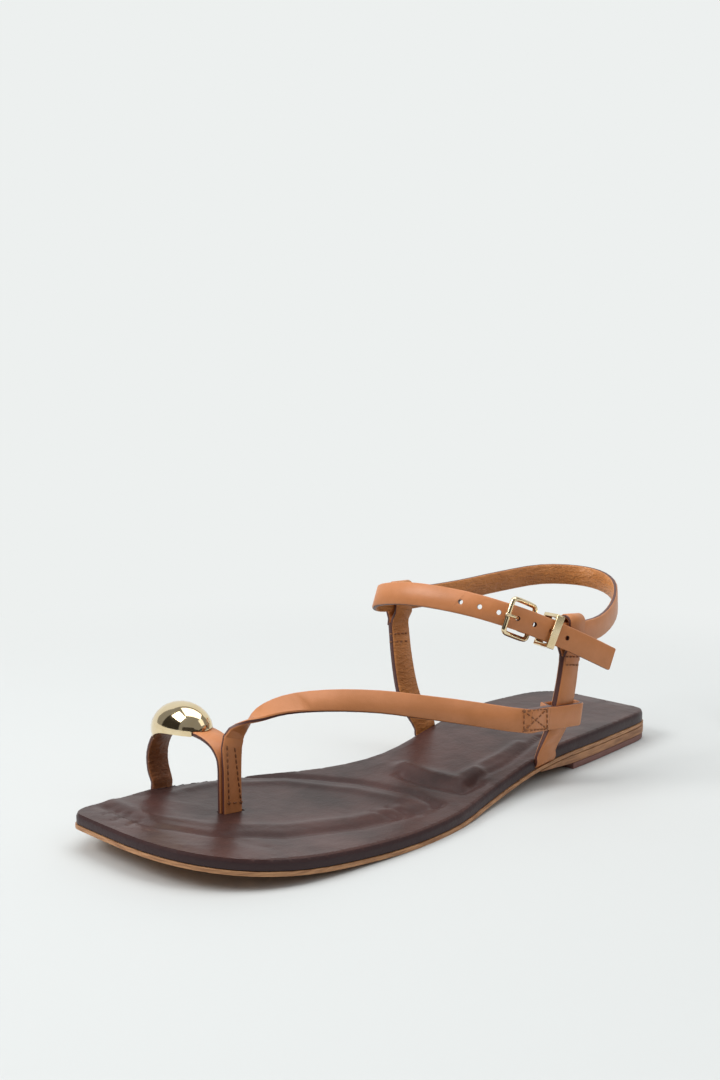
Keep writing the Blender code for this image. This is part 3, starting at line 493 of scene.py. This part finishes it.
def to_foot(place):
    if place.x > LOOP_BACK and place.y < LOOP_POST:
        return Vector((0, TOE_AXIS[0] - place.y, TOE_AXIS[1] - place.z)).normalized()
    return Vector(UNDER_VAMP).normalized()


ankle = skin("ankle_strap", "ankle_strap_leather")
mark_strap(ankle, to_ankle, shaded_hole_face=SHADED_HOLE_FACE)
finish_piece(ankle, "ankle_strap", STRAP)
loop = skin("toe_loop_and_vamp_strap", "toe_loop_and_vamp_leather")
mark_strap(loop, to_foot)
finish_piece(loop, "toe_loop_and_vamp_strap", LOOP_SHADED_LINING)
for node, side in (("outer_tab", -1), ("inner_tab", 1)):
    tab = skin(node, f"{node}_leather")
    mark_strap(tab, lambda place, side=side: Vector((0, side, 0)))
    finish_piece(tab, node, STRAP)

# %% [markdown]
# ## The footbed
# The real footbed was pressed on a mould: it has a basin under the toes, a step behind it, a
# crease along the waist and small wrinkles where the leather was gathered. They are drawn as
# lines on the photograph, dropped onto the footbed by their rays and pressed in as soft
# troughs. Each row has a line, a half width and a depth in millimetres. A negative depth
# raises a ridge. Edges of the top are split until none is long, so that the troughs are round.

# %% Footbed with its moulded creases
FOOTBED_CREASES = (
    (((160, 787), (185, 780), (210, 776), (285, 775), (360, 782), (410, 792), (436, 804)),
     1.7, 0.75),
    (((172, 793), (212, 784), (285, 783), (355, 790), (400, 799)), 2.4, -0.45),
    (((108, 806), (150, 824), (210, 834), (285, 835), (360, 826), (410, 814), (436, 804)),
     3.0, 0.85),
    (((112, 800), (152, 816), (212, 825), (285, 826), (355, 818), (400, 808)), 2.8, -0.35),
    (((104, 814), (118, 809)), 1.0, 0.35),
    (((114, 820), (130, 812)), 1.0, 0.35),
    (((128, 825), (142, 817)), 1.0, 0.30),
    (((372, 812), (402, 818)), 1.1, 0.35),
    (((388, 808), (420, 816)), 1.1, 0.32),
    (((402, 775), (430, 785), (462, 791), (480, 782)), 2.4, 1.10),
    (((404, 766), (432, 775), (460, 781), (476, 772)), 3.6, -1.20),
    (((470, 784), (488, 772), (506, 763), (524, 749), (540, 736)), 1.6, 0.70),
    (((464, 776), (482, 764), (500, 755), (518, 743)), 2.4, -0.55),
)
LONGEST_EDGE = 1.5 * MM
CREASE_SCALE = 1.3
SPLIT_PASSES = 9
SMOOTH_PASSES = 160
TOP_TURN = 0.3
LEVEL_TURN = 0.9
CALM_VERT, CALM_FACE = 0.94, 0.85
# Where the footbed turns down into its wall, the painted grey sheen fades in.
SHEEN_WALL_TURN, SHEEN_WALL_FADE = 0.75, 0.5
SHARP_DEGREES = 48


def press(mesh, node, rows):
    """Press soft troughs into a mesh along lines that lie on a solid."""
    places = np.array([v.co for v in mesh.vertices])
    normals = np.array([v.normal for v in mesh.vertices])
    moved = places.copy()
    for pixels, width, depth in rows:
        line = np.array([point for point, _ in along_pixels(node, pixels)])
        gap = np.full(len(places), 1.0)
        for point in line:
            gap = np.minimum(gap, np.linalg.norm(places - point, axis=1))
        amount = CREASE_SCALE * depth * MM * np.exp(-(gap / (width * MM)) ** 2)
        amount[normals[:, 2] < TOP_TURN] = 0
        moved -= normals * amount[:, None]
    mesh.vertices.foreach_set("co", moved.ravel())
    mesh.update()


footbed = skin("insole", "footbed_leather_layer", smooth_degrees=SHARP_DEGREES)
builder = bmesh.new()
builder.from_mesh(footbed.data)
builder.normal_update()
for _ in range(SPLIT_PASSES):
    too_long = [edge for edge in builder.edges if edge.calc_length() > LONGEST_EDGE
                and any(face.normal.z > TOP_TURN for face in edge.link_faces)]
    if not too_long:
        break
    bmesh.ops.subdivide_edges(builder, edges=too_long, cuts=1)
    bmesh.ops.triangulate(builder, faces=[face for face in builder.faces if len(face.verts) > 3])
    builder.normal_update()
    level = [face for face in builder.faces if face.normal.z > LEVEL_TURN]
    between = [edge for edge in builder.edges if len(edge.link_faces) == 2
               and all(face.normal.z > LEVEL_TURN for face in edge.link_faces)]
    bmesh.ops.beautify_fill(builder, faces=level, edges=between)
    builder.normal_update()
inner_top = [vert for vert in builder.verts if vert.normal.z > CALM_VERT
             and all(face.normal.z > CALM_FACE for face in vert.link_faces)]
for _ in range(SMOOTH_PASSES):
    bmesh.ops.smooth_vert(builder, verts=inner_top, factor=0.5, use_axis_z=True)
builder.to_mesh(footbed.data)
builder.free()
press(footbed.data, "insole", FOOTBED_CREASES)
# Mask for the painted grey sheen on the wall, from the vertex normals.
wall_sheen = footbed.data.attributes.new("wall_sheen", "FLOAT", "POINT")
wall_sheen.data.foreach_set("value", np.array(
    [min(max((SHEEN_WALL_TURN - vert.normal.z) / SHEEN_WALL_FADE, 0.0), 1.0)
     for vert in footbed.data.vertices], np.float32))
footbed.data.shade_smooth()
footbed.data.set_sharp_from_angle(angle=math.radians(SHARP_DEGREES))
finish_piece(footbed, "insole", FOOTBED)
print("footbed faces:", len(footbed.data.polygons))

# %% [markdown]
# ## The sole under it
# Outsole, heel lift and top piece are cut from sheet and sanded flush, so their edges are
# crisp but not sharp. A Bevel modifier rounds each edge by a quarter of a millimetre, which
# is what lets it catch the light.

# %% Sole layers
for node, material, slot in (("outsole", OUTSOLE, "sole_leather"),
                             ("heel_lift", LIFT, "sole_leather"),
                             ("heel_top_piece", RUBBER, "heel_rubber")):
    layer = skin(node, f"{node}_layer", smooth_degrees=35)
    rounding = layer.modifiers.new("sanded_edge", "BEVEL")
    rounding.width = 0.22 * MM
    rounding.segments = 2
    rounding.limit_method = "ANGLE"
    rounding.angle_limit = math.radians(50)
    finish_piece(layer, node, material)
    print(layer.name, "faces", len(layer.data.polygons))

# %% [markdown]
# ## The metal
# Buckle frame and prong are bent rods, so a Subdivision Surface over their quads makes them
# truly round. The keeper is a bent flat bar: a Bevel rounds its edges. The ornament is a
# polished oval that needs only smooth shading.

# %% Buckle, keeper and ornament
for node in ("buckle_frame", "buckle_prong"):
    rod = skin(node, f"{node}_rod", smooth_degrees=70, quads=True)
    roundness = rod.modifiers.new("round_rod", "SUBSURF")
    roundness.levels = roundness.render_levels = 1
    finish_piece(rod, node, PLATING)
keeper = skin("keeper", "keeper_bar", smooth_degrees=30)
rounding = keeper.modifiers.new("rounded_bar", "BEVEL")
rounding.width = 0.4 * MM
rounding.segments = 3
rounding.limit_method = "ANGLE"
rounding.angle_limit = math.radians(40)
keeper.data.shade_smooth()
finish_piece(keeper, "keeper", PLATING)
oval = skin("pebble_ornament", "polished_oval", smooth_degrees=42)
finish_piece(oval, "pebble_ornament", PLATING)
print("metal faces:", len(keeper.data.polygons) + len(oval.data.polygons))

# %% [markdown]
# ## The stitches
# Thread sinks into leather, so each stitch is a small swollen grain lying half in the surface.
# Geometry Nodes lay one along every path at an even spacing: the paths are lines dropped from
# the photograph onto the straps. The instances are realized and kept as a plain mesh.

# %% Stitch paths and their tree
STITCH_ROWS = (
    ("toe_loop_and_vamp_strap", ((524, 711), (547, 709), (547, 729), (524, 731), (524, 711))),
    ("toe_loop_and_vamp_strap", ((524, 711), (547, 729))),
    ("toe_loop_and_vamp_strap", ((547, 709), (524, 731))),
    ("toe_loop_and_vamp_strap", ((227, 748), (228, 775), (229, 803))),
    ("toe_loop_and_vamp_strap", ((235, 750), (238, 778), (241, 802))),
    ("toe_loop_and_vamp_strap", ((229, 803), (241, 802))),
    ("inner_tab", ((391, 634), (406, 633))),
    ("inner_tab", ((391, 642), (406, 641))),
    ("outer_tab", ((567, 657), (580, 657))),
    ("outer_tab", ((567, 665), (580, 665))),
)
STITCH_LIFT = 0.12 * MM


def stitch_tree():
    tree = bpy.data.node_groups.new("waxed_stitches", "GeometryNodeTree")
    sockets = tree.interface
    sockets.new_socket("Geometry", in_out="INPUT", socket_type="NodeSocketGeometry")
    for name in ("Stitch spacing", "Stitch length", "Thread width"):
        sockets.new_socket(name, in_out="INPUT", socket_type="NodeSocketFloat")
    sockets.new_socket("Geometry", in_out="OUTPUT", socket_type="NodeSocketGeometry")
    start = add_node(tree, "NodeGroupInput")
    path = add_node(tree, "GeometryNodeMeshToCurve", {"Mesh": start.outputs["Geometry"]})
    spots = add_node(tree, "GeometryNodeCurveToPoints",
                     {"Curve": path.outputs[0], "Length": start.outputs["Stitch spacing"]},
                     mode="LENGTH")
    grain = add_node(tree, "GeometryNodeMeshUVSphere", {"Segments": 8, "Rings": 6,
                                                        "Radius": 0.5})
    size = add_node(tree, "ShaderNodeCombineXYZ", {"X": start.outputs["Thread width"],
                                                   "Y": start.outputs["Thread width"],
                                                   "Z": start.outputs["Stitch length"]})
    laid = add_node(tree, "GeometryNodeInstanceOnPoints",
                    {"Points": spots.outputs["Points"], "Instance": grain.outputs["Mesh"],
                     "Rotation": spots.outputs["Rotation"], "Scale": size.outputs[0]})
    solid = add_node(tree, "GeometryNodeRealizeInstances", {"Geometry": laid.outputs[0]})
    smooth = add_node(tree, "GeometryNodeSetShadeSmooth", {"Geometry": solid.outputs[0]})
    painted = add_node(tree, "GeometryNodeSetMaterial", {"Geometry": smooth.outputs[0],
                                                         "Material": THREAD})
    add_node(tree, "NodeGroupOutput", {0: painted.outputs[0]})
    return tree


def lay_stitches(name, rows, values):
    """A mesh of stitches along lines of the photograph, as one plain piece."""
    points, edges = [], []
    for node, pixels in rows:
        first = len(points)
        for point, normal in along_pixels(node, pixels, step=0.6 * MM):
            points.append((point + normal * STITCH_LIFT)[:])
        edges += [(i, i + 1) for i in range(first, len(points) - 1)]
    mesh = bpy.data.meshes.new(name)
    mesh.from_pydata(points, edges, [])
    piece = bpy.data.objects.new(name, mesh)
    bpy.context.scene.collection.objects.link(piece)
    maker = piece.modifiers.new("stitches", "NODES")
    maker.node_group = stitch_tree()
    for item in maker.node_group.interface.items_tree:
        if item.item_type == "SOCKET" and item.in_out == "INPUT" and item.name in values:
            maker[item.identifier] = values[item.name]
    seen = bpy.context.evaluated_depsgraph_get()
    made = bpy.data.meshes.new_from_object(piece.evaluated_get(seen))
    piece.modifiers.clear()
    piece.data = made
    return piece


thread = lay_stitches("waxed_thread", STITCH_ROWS, {"Stitch spacing": 2.1 * MM,
                                                    "Stitch length": 1.7 * MM,
                                                    "Thread width": 0.65 * MM})
if not thread.data.materials:
    thread.data.materials.append(THREAD)
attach(thread, "root")
print("stitch faces:", len(thread.data.polygons))

# %% [markdown]
# ## The studio
# The photograph was made on a pale sweep with large soft lights, so shadows are faint. The
# floor runs back and curves up into the wall without a corner. Near the sandal the paper is
# lit by the lamps and takes a shadow, and farther off it glows evenly. Two dark cards outside
# the view give the polished metal something to mirror, as photographers do.

# %% Floor, cards and lights
scene = bpy.context.scene
scene.view_settings.view_transform = "Standard"
AWAY = Vector((FORWARD.x, FORWARD.y, 0)).normalized()
ASIDE = Vector((-AWAY.y, AWAY.x, 0))


def stage_mesh(name, points, faces, material):
    """A mesh that belongs to the studio and not to the sandal."""
    mesh = bpy.data.meshes.new(name)
    mesh.from_pydata([point[:] for point in points], [], faces)
    mesh.shade_smooth()
    mesh.materials.append(material)
    piece = bpy.data.objects.new(name, mesh)
    scene.collection.objects.link(piece)
    piece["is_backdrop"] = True


def plain(name, roughness, colour):
    """A material of one colour."""
    made, _, shader = new_material(name, roughness)
    shader.inputs["Base Color"].default_value = colour
    return made


def even_out(made, near, far):
    """Near the sandal the paper takes its shadow; farther off it gives its own even light."""
    tree = made.node_tree
    place = add_node(tree, "ShaderNodeTexCoord").outputs["Object"]
    away = add_node(tree, "ShaderNodeVectorMath", {0: place}, operation="LENGTH")
    share = add_node(tree, "ShaderNodeMapRange", {"Value": away.outputs["Value"],
                                                  "From Min": near, "From Max": far},
                     interpolation_type="SMOOTHSTEP")
    glow = add_node(tree, "ShaderNodeEmission", {"Color": BACKDROP, "Strength": 1.0})
    both = add_node(tree, "ShaderNodeMixShader",
                    {0: share.outputs[0], 1: tree.nodes["Principled BSDF"].outputs[0],
                     2: glow.outputs[0]})
    tree.links.new(both.outputs[0], tree.nodes["Material Output"].inputs["Surface"])


BACKDROP = linear("EDF0EF")
PAPER_LEVEL = 0.722
SHADOW_PAPER, GLOWING_PAPER = 0.17, 0.42
FLOOR_FRONT, FLOOR_BACK, WALL_TOP, BEND, HALF_WIDE = -2.4, 1.3, 3.0, 0.7, 3.0
paper = plain("pale_paper_sweep", 0.85, [value * PAPER_LEVEL for value in BACKDROP[:3]] + [1.0])
even_out(paper, SHADOW_PAPER, GLOWING_PAPER)
card = plain("dark_card", 0.9, linear("2A2624"))
profile = [(FLOOR_FRONT, 0), (FLOOR_BACK, 0)]
profile += [(FLOOR_BACK + BEND * math.sin(math.radians(turn)),
             BEND * (1 - math.cos(math.radians(turn)))) for turn in range(6, 91, 6)]
profile += [(FLOOR_BACK + BEND, WALL_TOP)]
stage_mesh("pale_sweep",
           [AWAY * distance + ASIDE * side * HALF_WIDE + Vector((0, 0, height))
            for distance, height in profile for side in (-1, 1)],
           [(i, i + 1, i + 3, i + 2) for i in range(0, 2 * len(profile) - 2, 2)], paper)

# Name, middle, the way it runs, width, lower and upper edge, in metres.
CARDS = (
    ("card_behind_camera", AWAY * -1.2, RIGHT, 2.6, 0.02, 0.42),
    ("card_on_the_left", RIGHT * -1.0 + AWAY * -0.25, AWAY, 0.8, 0.02, 0.6),
)
for name, middle, across, wide, low, high in CARDS:
    corners = [middle + across * side * wide / 2 + Vector((0, 0, z))
               for side, z in ((-1, low), (1, low), (1, high), (-1, high))]
    stage_mesh(name, corners, [(0, 1, 2, 3)], card)

# Name, metres away from, to the right of and above the sandal, width and depth, watts.
SOFTBOXES = (
    ("top_softbox", 0.05, 0.0, 1.3, (1.5, 1.0), 12),
    ("right_softbox", -0.6, 0.9, 1.0, (0.8, 0.8), 2.2),
    ("left_softbox", -0.3, -1.15, 0.95, (0.8, 0.8), 18),
)
for name, away, right, above, size, watts in SOFTBOXES:
    lamp = bpy.data.lights.new(name, "AREA")
    lamp.shape = "RECTANGLE"
    lamp.size, lamp.size_y = size
    lamp.energy = watts
    softbox = bpy.data.objects.new(name, lamp)
    softbox.location = AWAY * away + RIGHT * right + Vector((0, 0, above))
    softbox.rotation_mode = "QUATERNION"
    softbox.rotation_quaternion = (-softbox.location).to_track_quat("-Z", "Y")
    scene.collection.objects.link(softbox)

world = bpy.data.worlds.new("studio_air")
scene.world = world
world.use_nodes = True
air = world.node_tree.nodes["Background"]
air.inputs["Color"].default_value = linear("F2F4F6")
air.inputs["Strength"].default_value = 0.32

# %% [markdown]
# ## Sizes, and the end
# The box of the dressed sandal is printed at the end, in millimetres.

# %% Print the dressed box
low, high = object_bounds()
print("dressed box in mm:", [round(side / MM, 1) for side in high - low])
